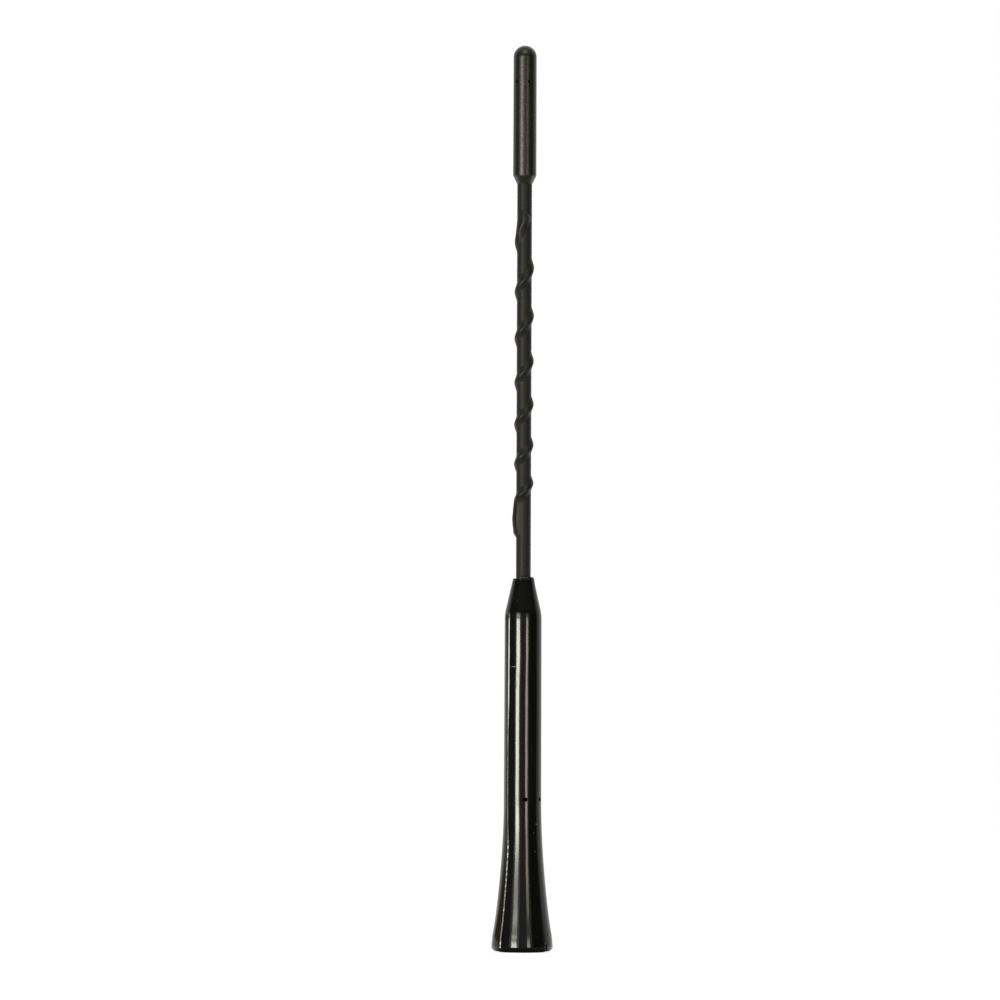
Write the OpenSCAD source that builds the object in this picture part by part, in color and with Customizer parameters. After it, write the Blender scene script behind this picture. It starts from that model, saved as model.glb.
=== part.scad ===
// Car mast aerial: a rigid whip that screws onto the aerial foot on a car's roof or wing.
// Millimetres. +Z runs up the mast, and the origin is the centre of the seat under the foot.
// Angles round the mast are measured from the front, which is -Y, towards +X.

/* [Mast] */
// Overall length from the seat to the tip of the cap
mast_length = 280; // [260:1:320]
// Outside diameter of the shrink sleeve on the plain rod
sleeve_d = 4.5; // [4.3:0.1:5]
// Wall of the shrink sleeve
sleeve_wall = 0.34; // [0.25:0.01:0.4]
// Length of sleeve that reaches down over the neck of the insert
sleeve_on_neck = 5; // [3:0.5:6]
// Diameter of the fibreglass core rod
core_d = 2.8; // [2.4:0.1:3]
// Running gap left between pieces that are moulded, shrunk or pushed together
fit = 0.05; // [0.03:0.01:0.08]

/* [Base] */
// Length of the moulded base along the mast
base_length = 115.4; // [100:0.1:130]
// Diameter at the mouth of the base, round the sleeve
base_mouth_d = 6.5; // [6.2:0.1:7.5]
// Length of the cone between the mouth and the shoulder
base_cone_length = 12.7; // [8:0.1:20]
// Radius that rolls the cone into the barrel
shoulder_radius = 14; // [6:0.5:20]
// Diameter of the barrel under the shoulder
barrel_top_d = 11.45; // [10.4:0.05:12.5]
// Diameter of the barrel where the foot starts to flare
barrel_bottom_d = 11.6; // [10.8:0.05:12.8]
// Height at which the foot starts to flare
flare_height = 45.7; // [38:0.1:60]
// Power of the flare's curve, higher for a foot that turns out later
flare_power = 1.75; // [1.5:0.05:2.4]
// Largest diameter of the foot
foot_d = 19.1; // [17.4:0.1:22]
// Radius of the foot's bottom edge
foot_edge_radius = 1.4; // [1:0.05:2]
// Outside diameter of the seat ring under the foot
seat_d = 14.4; // [14:0.1:14.6]
// Height that the seat ring stands below the underside
seat_step = 0.25; // [0.15:0.05:0.6]
// Diameter of the recess inside the seat ring
recess_d = 11.8; // [11:0.1:12.4]
// Depth of that recess from the seat
recess_depth = 1; // [0.6:0.1:1.5]
// Direction in which the halves of the base's mould open
base_mould_angle = 38; // [0:1:90]
// Height of the mould's core-pin holes
base_pin_height = 47.2; // [42:0.1:60]
// Diameter of those holes
base_pin_d = 1.4; // [1:0.1:1.6]

/* [Insert] */
// Thread core diameter of the M5 hole, modelled as a plain bore
thread_core_d = 4.2; // [4.1:0.05:4.4]
// Depth of full bore in the M5 hole
thread_depth = 12; // [10:0.5:14]
// Diameter of the insert's bottom flange
flange_d = 9; // [8.6:0.1:10]
// Thickness of that flange
flange_length = 2; // [1.5:0.1:3]
// Height of the flange's face above the seat
face_height = 0.2; // [0.1:0.05:0.4]
// Diameter over the knurl
knurl_d = 8; // [7.4:0.1:8.4]
// Length of the knurled barrel
knurl_length = 12; // [9:0.5:14]
// Number of ridges in the knurl
knurl_ridges = 24; // [16:1:28]
// Depth of the knurl
knurl_depth = 0.3; // [0.2:0.05:0.4]
// Diameter at the bottom of the two holding grooves
groove_d = 6.4; // [6:0.1:7]
// Width of each holding groove
groove_length = 1.2; // [0.8:0.1:2]
// Length of the plain collar above the knurl
collar_length = 6; // [4:0.5:9]
// Diameter of the neck that takes the core rod
neck_d = 4.5; // [4.2:0.1:4.8]
// Length of the neck
neck_length = 9; // [8:0.5:12]
// Depth of the rod socket from the top of the neck
socket_depth = 14; // [11:0.5:15]

/* [Winding] */
// Spacing of the aerial wire's turns along the rod
wire_pitch = 0.91; // [0.8:0.01:1.4]
// Length of the solder cone between the neck and the first turn
solder_length = 2; // [1.5:0.1:3]

/* [Spiral cord] */
// Diameter of the cord that stops the mast from whistling
cord_d = 0.76; // [0.7:0.02:0.94]
// Distance from the lip of the cap down to the cord's first full turn, at the side of the rod
cord_below_cap = 18.4; // [14:0.1:26]
// Distance from the mouth of the base up to the end of the cord's last full turn
cord_above_base = 24.4; // [18:0.1:34]
// Pitch of the uppermost turn, before the turns are eased to fill the space
cord_top_pitch = 15.5; // [14.5:0.1:16.5]
// Pitch of the lowest turn, before the turns are eased to fill the space
cord_low_pitch = 11.1; // [10.5:0.1:13.5]
// Length of the cord's upper tail, wound at a steeper lay
upper_tail_length = 8; // [6:0.5:10]
// Length of the cord's lower tail, laid along the rod
lower_tail_length = 10.2; // [8:0.1:12]
// Diameter of the cord's doubled lower end
cord_end_d = 1.3; // [1:0.02:1.4]
// Distance from the cord's centre to where the sleeve lies on the winding again
skirt_width = 1.75; // [1.4:0.05:1.9]

/* [Cap] */
// Length of the moulded tip cap
cap_length = 42.6; // [36:0.1:50]
// Diameter of the cap under its dome
cap_top_d = 7.1; // [6.6:0.05:7.6]
// Diameter of the cap's lower end
cap_bottom_d = 7.2; // [6.8:0.05:7.8]
// Diameter of the lip where the cap meets the sleeve
cap_lip_d = 4.85; // [4.85:0.05:5.4]
// Length of the cone between the lip and the barrel of the cap
cap_cone_length = 2.9; // [1.8:0.1:4]
// Radius that rolls that cone into the barrel of the cap
cap_roll_radius = 2; // [1:0.1:3]
// Length of bare core rod above the sleeve, inside the cap
bare_core_length = 12; // [8:0.5:16]
// Thickness of solid cap above the end of the core rod
cap_crown = 6.5; // [5:0.1:9]
// Direction in which the halves of the cap's mould open
cap_mould_angle = -7.6; // [-30:0.1:30]
// Distance of the cap's core-pin holes from the tip
cap_pin_drop = 11.2; // [10:0.1:13]
// Diameter of those holes
cap_pin_d = 1.25; // [1:0.05:1.4]

/* [Hidden] */
$fn = 48;
half_turn = 180;
quarter_turn = 90;

flare_steps = 16;
arc_steps = 6;
dome_steps = 12;
pin_bite = 0.12;          // how far a core pin's hole opens into the bore that it held
thread_chamfer = 0.4;
drill_angle = 59;         // half angle of a twist drill's point
edge = 0.3;               // small turned or moulded edge break
pin_inset = 0.25;         // share of its diameter by which a core pin reached past the middle
valley_share = 0.35;      // height of the winding's valleys as a share of a turn's height

// Heights of the insert's steps, from its face upwards
flange_top = face_height + flange_length;
knurl_bottom = flange_top + groove_length;
knurl_top = knurl_bottom + knurl_length;
collar_bottom = knurl_top + groove_length;
collar_top = collar_bottom + collar_length;
neck_top = collar_top + neck_length;
collar_d = knurl_d - 2 * edge;

// Stack of pieces round the core rod
core_r = core_d / 2;
sleeve_r = sleeve_d / 2;
winding_r = sleeve_r - sleeve_wall;
winding_bore_r = core_r + fit / 5;
wire_valley_r = core_r + (winding_r - core_r) * valley_share;
neck_sleeve_r = neck_d / 2 + sleeve_wall + fit;

// Heights of what ends inside the base and the cap
solder_top = neck_top + solder_length;
sleeve_bottom = neck_top - sleeve_on_neck;
blend_top = solder_top + solder_length;
cap_bottom = mast_length - cap_length;
core_top = mast_length - cap_crown;
sleeve_top = core_top - bare_core_length;
core_bottom = neck_top - socket_depth;
bore_r = sleeve_r + fit;

function arc(cx, cz, r, from, to, steps) =
    [for (i = [0 : steps]) let (a = from + (to - from) * i / steps) [cx + r * cos(a), cz + r * sin(a)]];

// Angle at which a line from point p touches a circle, for a cone that rolls into a barrel
function roll_angle(p, centre, r) =
    let (d = p - centre) abs(atan2(d[1], d[0])) - acos(r / norm(d));

// Places its child on the radius that points at an angle from the front
module at_angle(angle) {
    rotate([0, 0, angle])
        children();
}

// Two parallel core pins in each half of a mould, which cradled the piece inside the moulding
module core_pins(angle, height, pin_d, held_r, reach) {
    side = held_r + pin_d / 2 - pin_bite;
    for (half = [0, half_turn], hand = [-1, 1])
        at_angle(angle + half)
            translate([hand * side, -pin_d * pin_inset, height])
                rotate([quarter_turn, 0, 0])
                    cylinder(d = pin_d, h = reach);
}

// Radius of the base's outside on the flare, at a height
function flare_r(z, low) =
    let (barrel_r = barrel_bottom_d / 2)
    barrel_r + (foot_d / 2 - barrel_r) * pow((flare_height - z) / (flare_height - low), flare_power);

module base_outline() {
    foot_r = foot_d / 2;
    edge_z = seat_step + foot_edge_radius;
    barrel_r = barrel_top_d / 2;
    shoulder_z = base_length - base_cone_length;
    centre = [barrel_r - shoulder_radius, shoulder_z];
    mouth = [base_mouth_d / 2, base_length - edge];
    lean = roll_angle(mouth, centre, shoulder_radius);
    polygon(concat(
        [[0, seat_step]],
        arc(foot_r - foot_edge_radius, edge_z, foot_edge_radius, -quarter_turn, 0, arc_steps),
        [for (i = [1 : flare_steps])
            let (z = edge_z + (flare_height - edge_z) * i / flare_steps) [flare_r(z, edge_z), z]],
        arc(centre[0], centre[1], shoulder_radius, 0, lean, arc_steps),
        [mouth, [base_mouth_d / 2 - edge, base_length], [0, base_length]]));
}

// The cavity that the insert, the neck's sleeve and the rod's sleeve fill
module base_cavity_outline() {
    polygon([
        [0, -1],
        [recess_d / 2, -1],
        [recess_d / 2, recess_depth],
        [flange_d / 2 + fit, recess_depth],
        [flange_d / 2 + fit, flange_top + fit],
        [groove_d / 2 + fit, flange_top + fit],
        [groove_d / 2 + fit, knurl_bottom - fit],
        [knurl_d / 2 + fit, knurl_bottom - fit],
        [knurl_d / 2 + fit, knurl_top + fit],
        [groove_d / 2 + fit, knurl_top + fit],
        [groove_d / 2 + fit, collar_bottom - fit],
        [collar_d / 2 + fit, collar_bottom - fit],
        [collar_d / 2 + fit, collar_top + fit],
        [neck_sleeve_r + fit, collar_top + fit],
        [neck_sleeve_r + fit, solder_top],
        [bore_r, blend_top + fit],
        [bore_r, base_length + 1],
        [0, base_length + 1]]);
}

module base_cover() {
    color([0.055, 0.055, 0.042])
        difference() {
            union() {
                rotate_extrude()
                    base_outline();
                cylinder(d = seat_d, h = seat_step + edge);
            }
            rotate_extrude()
                base_cavity_outline();
            core_pins(base_mould_angle, base_pin_height, base_pin_d, bore_r, foot_d);
        }
}

module insert_outline() {
    polygon([
        [0, face_height],
        [flange_d / 2 - edge, face_height],
        [flange_d / 2, face_height + edge],
        [flange_d / 2, flange_top],
        [groove_d / 2, flange_top],
        [groove_d / 2, knurl_bottom],
        [knurl_d / 2 - knurl_depth, knurl_bottom],
        [knurl_d / 2 - knurl_depth, knurl_top],
        [groove_d / 2, knurl_top],
        [groove_d / 2, collar_bottom],
        [collar_d / 2, collar_bottom],
        [collar_d / 2, collar_top - edge],
        [collar_d / 2 - edge, collar_top],
        [neck_d / 2, collar_top],
        [neck_d / 2, neck_top],
        [0, neck_top]]);
}

module knurl() {
    ridge = 360 / knurl_ridges;
    translate([0, 0, knurl_bottom])
        linear_extrude(knurl_length)
            polygon([for (i = [0 : knurl_ridges - 1], half = [0, 1])
                let (r = knurl_d / 2 - half * knurl_depth, a = (i + half / 2) * ridge)
                [r * cos(a), r * sin(a)]]);
}

module thread_hole() {
    mouth_r = thread_core_d / 2 + thread_chamfer;
    translate([0, 0, face_height - 1])
        cylinder(d = thread_core_d, h = thread_depth + 1);
    translate([0, 0, face_height + thread_depth])
        cylinder(d1 = thread_core_d, d2 = 0, h = thread_core_d / 2 / tan(drill_angle));
    translate([0, 0, face_height - 1])
        cylinder(r1 = mouth_r + 1, r2 = mouth_r - thread_chamfer, h = 1 + thread_chamfer);
}

module threaded_insert() {
    color([0.78, 0.62, 0.30])
        difference() {
            union() {
                rotate_extrude()
                    insert_outline();
                knurl();
            }
            thread_hole();
            translate([0, 0, core_bottom])
                cylinder(r = core_r + fit, h = socket_depth + 1);
        }
}

module core_rod() {
    color([0.80, 0.78, 0.66])
        translate([0, 0, core_bottom])
            cylinder(r = core_r, h = core_top - core_bottom);
}

// The winding is one body with a ridge for each turn of the wire
module aerial_wire() {
    start = solder_top + fit;
    turns = floor((sleeve_top - fit - start) / wire_pitch);
    color([0.72, 0.38, 0.20])
        rotate_extrude()
            polygon(concat(
                [[winding_bore_r, start]],
                [for (i = [0 : turns - 1], k = [[0.0, 0], [0.25, 0.8], [0.5, 1], [0.75, 0.8]])
                    [wire_valley_r + (winding_r - fit / 2 - wire_valley_r) * k[1],
                     start + (i + k[0]) * wire_pitch]],
                [[wire_valley_r, start + turns * wire_pitch],
                 [winding_bore_r, start + turns * wire_pitch]]));
}

module solder_joint() {
    sag = [[0, 0], [0.3, 0.45], [0.65, 0.8], [1, 1]];
    color([0.72, 0.73, 0.74])
        rotate_extrude()
            polygon(concat(
                [[core_r + fit / 5, neck_top]],
                [for (k = sag)
                    [neck_d / 2 + (winding_r - fit / 2 - neck_d / 2) * k[1], neck_top + solder_length * k[0]]],
                [[core_r + fit / 5, solder_top]]));
}

// Route of the cord round the rod: a right-hand helix that eases from the upper pitch to a closer
// one, with a steeper tail above it and a tail laid almost along the rod below it.
// A turn t counts downwards from the first turn, at the rod's left side, which is angle 270.
// The turns fill the space between the cap and the base, and the lower tail starts on the same side.
side_angle = 270;
upper_tail_turn = 0.3;
lower_tail_turn = 0.05;
thickest_share = 0.6;     // how far down the lower tail the doubled end is at its full diameter
spiral_top = cap_bottom - cord_below_cap;
spiral_bottom = base_length + cord_above_base;
spiral_drop = spiral_top - spiral_bottom;
spiral_turns = round(2 * spiral_drop / (cord_top_pitch + cord_low_pitch)) - lower_tail_turn;
mean_pitch = spiral_drop / spiral_turns;
pitch_change = mean_pitch * (cord_top_pitch - cord_low_pitch) / (cord_top_pitch + cord_low_pitch);
spiral_top_pitch = mean_pitch + pitch_change;
spiral_bottom_pitch = mean_pitch - pitch_change;

function helix_z(t) =
    t < 0 ? spiral_top - t * upper_tail_length / upper_tail_turn
    : t > spiral_turns ? spiral_bottom - (t - spiral_turns) * spiral_bottom_pitch
    : spiral_top - spiral_top_pitch * t
        + (spiral_top_pitch - spiral_bottom_pitch) / (2 * spiral_turns) * t * t;

// Where the cord lies on the lower tail, u from 0 to 1
function lower_tail(u) =
    let (entry = 2 * lower_tail_turn * spiral_bottom_pitch / lower_tail_length)
    [spiral_turns + lower_tail_turn * (1 - (1 - u) * (1 - u)),
     spiral_bottom - lower_tail_length * (entry * u + (1 - entry) * u * u)];

// Radius of the cord, thin at its upper end and doubled at its lower end
function cord_r_at(z) =
    let (end_z = spiral_bottom - lower_tail_length * thickest_share)
    z > spiral_bottom ? cord_d / 2
    : z > end_z ? cord_d / 2 + (cord_end_d - cord_d) / 2 * (spiral_bottom - z) / (spiral_bottom - end_z)
    : cord_end_d / 2 - cord_d / 4 * (end_z - z) / (end_z - (spiral_bottom - lower_tail_length));

turn_step = 1 / 48;
tail_stations = 12;
route_turns = floor((spiral_turns + upper_tail_turn) / turn_step);
// Each station is its angle round the rod, its height and the cord's radius there
route = concat(
    [for (i = [0 : route_turns])
        let (t = spiral_turns - (route_turns - i) * turn_step, z = helix_z(t))
        [side_angle - 360 * t, z, cord_r_at(z)]],
    [for (i = [1 : tail_stations])
        let (p = lower_tail(i / tail_stations)) [side_angle - 360 * p[0], p[1], cord_r_at(p[1])]]);

function wrap(a) = a - 360 * floor((a + 180) / 360);

// Distance over the rod's surface from a place to one stretch of the route, with the cord's radius
function stretch_gap(angle, z, a, b, r) =
    let (
        scale = PI * r / 180,
        from = [wrap(a[0] - angle) * scale, a[1] - z],
        run = [(b[0] - a[0]) * scale, b[1] - a[1]],
        u = max(0, min(1, -(from * run) / (run * run))))
    [norm(from + run * u), a[2] + (b[2] - a[2]) * u];

// The nearest stretch of the route within reach, or one too far away to lift the sleeve
function route_gap(angle, z, r) =
    let (
        near = [for (i = [0 : len(route) - 2])
            if (abs(route[i][1] - z) < 2 * skirt_width)
                stretch_gap(angle, z, route[i], route[i + 1], r)],
        gaps = [for (g = near) g[0]],
        nearest = min(concat(gaps, [2 * skirt_width])))
    concat([for (g = near) if (g[0] == nearest) g], [[2 * skirt_width, cord_d / 2]])[0];

// Height of a tube drawn tight over a round cord and down to the rod at each side
function tent(gap, lift, r, width) =
    let (
        slope = atan2(lift, width) + asin(r / norm([width, lift])),
        touch = r * sin(slope))
    gap >= width ? 0
    : gap <= touch ? lift + sqrt(r * r - gap * gap)
    : (width - gap) * tan(slope);

// Angles round the rod at which the sleeve has points, closer together at the lower tail
columns = concat(
    [for (a = [0 : 15 : 255]) a],
    [for (a = [262.5 : 7.5 : 277.5]) a],
    [for (a = [285 : 15 : 345]) a]);

// Rows of points run along the cord, packed closely over it and wide apart between its turns
row_parts = [0, 0.022, 0.045, 0.09, 0.14, 0.19, 0.5, 0.81, 0.86, 0.91, 0.955, 0.978];
rows_a_turn = len(row_parts);
spare_turns = 3;
row_turns = ceil(spiral_turns) + 2 * spare_turns;
rows = [for (k = [0 : row_turns - 1], p = row_parts) k - spare_turns + p];
zone_top = spiral_top + upper_tail_length + 3 * skirt_width;
zone_bottom = spiral_bottom - lower_tail_length - 3 * skirt_width;

function row_z(row, column) = helix_z(rows[row] + (side_angle - columns[column]) / 360);
function clamped_z(row, column) = max(zone_bottom, min(zone_top, row_z(row, column)));
first_rows = [for (c = [0 : len(columns) - 1])
    max([for (i = [0 : len(rows) - 1]) if (row_z(i, c) >= zone_top) i])];
last_rows = [for (c = [0 : len(columns) - 1])
    min([for (i = [0 : len(rows) - 1]) if (row_z(i, c) <= zone_bottom) i])];

// Number of a point of the wound stretch; the column past the last is the first, one turn up
function point_at(row, column) =
    column == len(columns) ? point_at(row - rows_a_turn, 0)
    : max(first_rows[column], min(last_rows[column], row)) * len(columns) + column;

function on_rod(angle, r, z) = [r * sin(angle), -r * cos(angle), z];

function whole(triangle) =
    triangle[0] != triangle[1] && triangle[1] != triangle[2] && triangle[0] != triangle[2];

function facing(faces, outwards) = outwards ? faces : [for (f = faces) [f[2], f[1], f[0]]];

// Faces between two rings of points, listed from the upper ring down
function band(upper, lower, count) =
    [for (i = [0 : count - 1], half = [0, 1]) let (j = (i + 1) % count)
        half == 0 ? [upper[i], upper[j], lower[j]] : [upper[i], lower[j], lower[i]]];

function wound_faces(first) =
    [for (i = [0 : len(rows) - 2], c = [0 : len(columns) - 1], half = [0, 1])
        let (
            a = point_at(i, c), b = point_at(i, c + 1),
            d = point_at(i + 1, c), e = point_at(i + 1, c + 1),
            triangle = half == 0 ? [a, b, e] : [a, e, d])
        if (whole(triangle)) triangle + [first, first, first]];

wound_gaps = [for (i = [0 : len(rows) - 1]) [for (c = [0 : len(columns) - 1])
    i < first_rows[c] || i > last_rows[c] ? [2 * skirt_width, cord_d / 2]
    : route_gap(columns[c], clamped_z(i, c), sleeve_r)]];

// Points of one face of the sleeve: the wound stretch, then the plain rings above and below it
function sleeve_points(rod_r, wall, rings) = concat(
    [for (i = [0 : len(rows) - 1], c = [0 : len(columns) - 1])
        let (gap = wound_gaps[i][c], lift = winding_r + gap[1] - rod_r)
        on_rod(columns[c], rod_r + tent(gap[0], lift, gap[1] + wall, skirt_width - sleeve_wall + wall),
               clamped_z(i, c))],
    [for (ring = rings, a = columns) on_rod(a, ring[0], ring[1])]);

module shrink_sleeve() {
    inner_r = winding_r + fit / 5;
    neck_inner_r = neck_sleeve_r - sleeve_wall;
    outer_rings = [[sleeve_r, sleeve_top], [sleeve_r, blend_top],
                   [neck_sleeve_r, neck_top], [neck_sleeve_r, sleeve_bottom]];
    inner_rings = [[inner_r, sleeve_top], [inner_r, blend_top],
                   [neck_inner_r, neck_top + edge], [neck_inner_r, sleeve_bottom]];
    count = len(columns);
    wound = len(rows) * count;
    face_points = wound + len(outer_rings) * count;
    function ring(index, face) = [for (c = [0 : count - 1]) face * face_points + wound + index * count + c];
    function zone_ring(row, face) = [for (c = [0 : count - 1]) face * face_points + point_at(row, c)];
    function skin(face) = concat(
        band(ring(0, face), zone_ring(0, face), count),
        wound_faces(face * face_points),
        band(zone_ring(len(rows) - 1, face), ring(1, face), count),
        band(ring(1, face), ring(2, face), count),
        band(ring(2, face), ring(3, face), count));
    color([0.19, 0.18, 0.16])
        polyhedron(
            concat(sleeve_points(sleeve_r, sleeve_wall, outer_rings),
                   sleeve_points(inner_r, fit, inner_rings)),
            concat(
                facing(skin(0), true),
                facing(skin(1), false),
                band(ring(0, 1), ring(0, 0), count),
                band(ring(3, 0), ring(3, 1), count)));
}

module spiral_cord() {
    sides = 6;
    centres = [for (s = route) on_rod(s[0], winding_r + s[2], s[1])];
    last = len(route) - 1;
    function along(i) =
        let (d = centres[min(last, i + 1)] - centres[max(0, i - 1)]) d / norm(d);
    function section(i) =
        let (
            out = [sin(route[i][0]), -cos(route[i][0]), 0],
            across = cross(along(i), out))
        [for (k = [0 : sides - 1])
            centres[i] + (route[i][2] - fit / 5) * (cos(360 * k / sides) * out
                + sin(360 * k / sides) * across / norm(across))];
    picked = [for (i = [0 : 2 : last]) i];
    color([0.13, 0.13, 0.12])
        polyhedron(
            [for (i = picked) each section(i)],
            concat(
                [[for (k = [0 : sides - 1]) k]],
                [for (i = [0 : len(picked) - 2])
                    each band([for (k = [0 : sides - 1]) i * sides + sides - 1 - k],
                              [for (k = [0 : sides - 1]) (i + 1) * sides + sides - 1 - k], sides)],
                [[for (k = [0 : sides - 1]) len(picked) * sides - 1 - k]]));
}

module cap_outline() {
    centre = [cap_bottom_d / 2 - cap_roll_radius, cap_bottom + cap_cone_length];
    lip = [cap_lip_d / 2, cap_bottom];
    lean = roll_angle(lip, centre, cap_roll_radius);
    dome_r = cap_top_d / 2;
    polygon(concat(
        [[0, cap_bottom]],
        [lip],
        arc(centre[0], centre[1], cap_roll_radius, -lean, 0, arc_steps),
        arc(0, mast_length - dome_r, dome_r, 0, quarter_turn, dome_steps)));
}

module tip_cap() {
    color([0.16, 0.16, 0.14])
        difference() {
            rotate_extrude()
                cap_outline();
            translate([0, 0, cap_bottom - 1])
                cylinder(r = bore_r, h = sleeve_top + fit - cap_bottom + 1);
            translate([0, 0, cap_bottom])
                cylinder(r = core_r + fit, h = core_top + fit - cap_bottom);
            core_pins(cap_mould_angle, mast_length - cap_pin_drop, cap_pin_d, core_r + fit, cap_bottom_d);
        }
}

base_cover();
threaded_insert();
core_rod();
aerial_wire();
solder_joint();
spiral_cord();
shrink_sleeve();
tip_cap();
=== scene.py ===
import math

import bmesh
import bpy
import numpy as np
from mathutils import Matrix, Vector, noise


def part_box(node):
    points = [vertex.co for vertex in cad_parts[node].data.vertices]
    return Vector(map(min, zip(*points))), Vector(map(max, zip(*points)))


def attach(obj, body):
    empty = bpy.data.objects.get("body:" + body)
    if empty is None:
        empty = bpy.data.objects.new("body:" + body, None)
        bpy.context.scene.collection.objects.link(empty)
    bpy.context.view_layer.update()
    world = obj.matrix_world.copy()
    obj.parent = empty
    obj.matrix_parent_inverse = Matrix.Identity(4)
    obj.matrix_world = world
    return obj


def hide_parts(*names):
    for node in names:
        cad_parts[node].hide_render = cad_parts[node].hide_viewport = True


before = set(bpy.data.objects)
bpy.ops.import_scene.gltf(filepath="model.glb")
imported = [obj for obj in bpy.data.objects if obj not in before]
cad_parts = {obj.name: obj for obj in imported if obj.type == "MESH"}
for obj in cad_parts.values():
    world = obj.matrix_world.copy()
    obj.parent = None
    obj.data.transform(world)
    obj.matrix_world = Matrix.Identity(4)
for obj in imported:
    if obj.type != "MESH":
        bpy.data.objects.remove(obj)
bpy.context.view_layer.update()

bl_info = {
    "name": "Car mast aerial",
    "version": (1, 0, 0),
    "blender": (4, 5, 0),
    "location": "3D View > Sidebar > Mast",
    "description": "Builds the dressed pieces of a screw-on car mast aerial around its packed frame",
    "category": "Object",
}

BODY = "root"
MM = 0.001
FIT = 0.05 * MM
PIN_BITE = 0.12 * MM

base_low, base_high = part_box("base_cover")
cap_low, cap_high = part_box("tip_cap")
insert_low, insert_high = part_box("threaded_insert")
sleeve_low, sleeve_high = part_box("shrink_sleeve")
cord_low, cord_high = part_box("spiral_cord")
rod_low, rod_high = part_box("core_rod")


def length(name, value, description):
    """A property for a size in metres."""
    return bpy.props.FloatProperty(
        name=name, default=value, description=description, min=0.0,
        subtype="DISTANCE", unit="LENGTH", precision=5)


def angle(name, degrees, description):
    """A property for a direction round the mast, from the front towards +X."""
    return bpy.props.FloatProperty(
        name=name, default=math.radians(degrees), description=description,
        subtype="ANGLE", unit="ROTATION")


def amount(name, value, description, low=0.0, high=100.0):
    """A property for a plain number."""
    return bpy.props.FloatProperty(
        name=name, default=value, description=description, min=low, max=high)


def tint(name, value, description):
    """A property for a colour."""
    return bpy.props.FloatVectorProperty(
        name=name, default=value, description=description, subtype="COLOR", size=3,
        min=0.0, max=1.0)


class MastBaseSettings(bpy.types.PropertyGroup):
    """Sizes and colour of the moulded base."""
    base_length: length("Length", base_high.z, "Length of the base along the mast")
    foot_d: length("Foot", base_high.x - base_low.x, "Largest diameter of the foot")
    edge_radius: length("Foot edge", 1.4 * MM, "Radius of the foot's bottom edge")
    seat_d: length("Seat ring", 14.4 * MM, "Outside diameter of the seat ring")
    seat_step: length("Seat step", 0.25 * MM, "How far the seat ring stands below the underside")
    recess_d: length("Recess", 11.8 * MM, "Diameter of the recess inside the seat ring")
    recess_depth: length("Recess depth", 1 * MM, "Depth of the recess from the seat")
    flare_height: length("Flare", 45.7 * MM, "Height at which the foot starts to flare")
    flare_power: amount("Flare power", 1.75, "Power of the flare's curve")
    land: amount("Land", 0.04, "Share by which the flare runs early into the steeper land", 0.0, 0.1)
    land_draft: angle("Land draft", 4.0, "Draft of the land, given as an angle to the mast's axis")
    barrel_bottom_d: length("Barrel, low", 11.6 * MM, "Diameter where the flare starts")
    barrel_top_d: length("Barrel, high", 11.45 * MM, "Diameter under the shoulder")
    shoulder_radius: length("Shoulder", 14 * MM, "Radius that rolls the cone into the barrel")
    cone_length: length("Cone", 12.7 * MM, "Length of the cone below the mouth")
    mouth_d: length("Mouth", 6.5 * MM, "Diameter at the mouth, round the sleeve")
    pin_height: length("Pin holes", 47.2 * MM, "Height of the core-pin holes")
    pin_d: length("Pin hole", 1.4 * MM, "Diameter of the core-pin holes")
    mould_angle: angle("Mould", 38, "Direction in which the halves of the mould open")
    flash: length("Flash", 0.19 * MM, "Height of the flash on the parting line")
    colour: tint("Colour", (0.0028, 0.0028, 0.0022), "Gloss black of the moulding")


class MastSleeveSettings(bpy.types.PropertyGroup):
    """Sizes and colour of the shrink sleeve and the cord under it."""
    rod_d: length("Sleeve", 4.5 * MM, "Diameter of the sleeve on the plain rod")
    wall: length("Wall", 0.34 * MM, "Wall of the sleeve")
    cord_d: length("Cord", 0.76 * MM, "Diameter of the spiral cord")
    cord_end_d: length("Cord end", 1.3 * MM, "Diameter of the cord's doubled lower end")
    spiral_top: length("Spiral top", cap_low.z - 18.4 * MM, "Height of the first full turn")
    spiral_bottom: length("Spiral bottom", base_high.z + 24.4 * MM, "Height where the last full turn ends")
    top_pitch: length("Top pitch", 15.5 * MM, "Pitch of the uppermost turn")
    low_pitch: length("Low pitch", 11.1 * MM, "Pitch of the lowest turn")
    upper_tail: length("Upper tail", 8 * MM, "Length of the steep upper tail")
    lower_tail: length("Lower tail", 10.2 * MM, "Length of the tail laid along the rod")
    skirt: length("Skirt", 1.75 * MM, "Reach of the sleeve's skirt beside the cord")
    upper_spread: amount("Upper spread", 0.83, "Share by which the skirt is wider above the upper tail")
    lower_spread: amount("Lower spread", 0.37, "Share by which the skirt is wider in front of the lower tail")
    wire_pitch: length("Wire pitch", 0.91 * MM, "Spacing of the wire's turns")
    ring_height: length("Rings", 0.03 * MM, "Height of the rings that the wire's turns press")
    colour: tint("Colour", (0.0078, 0.0073, 0.0052), "Satin black of the sleeve")


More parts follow.
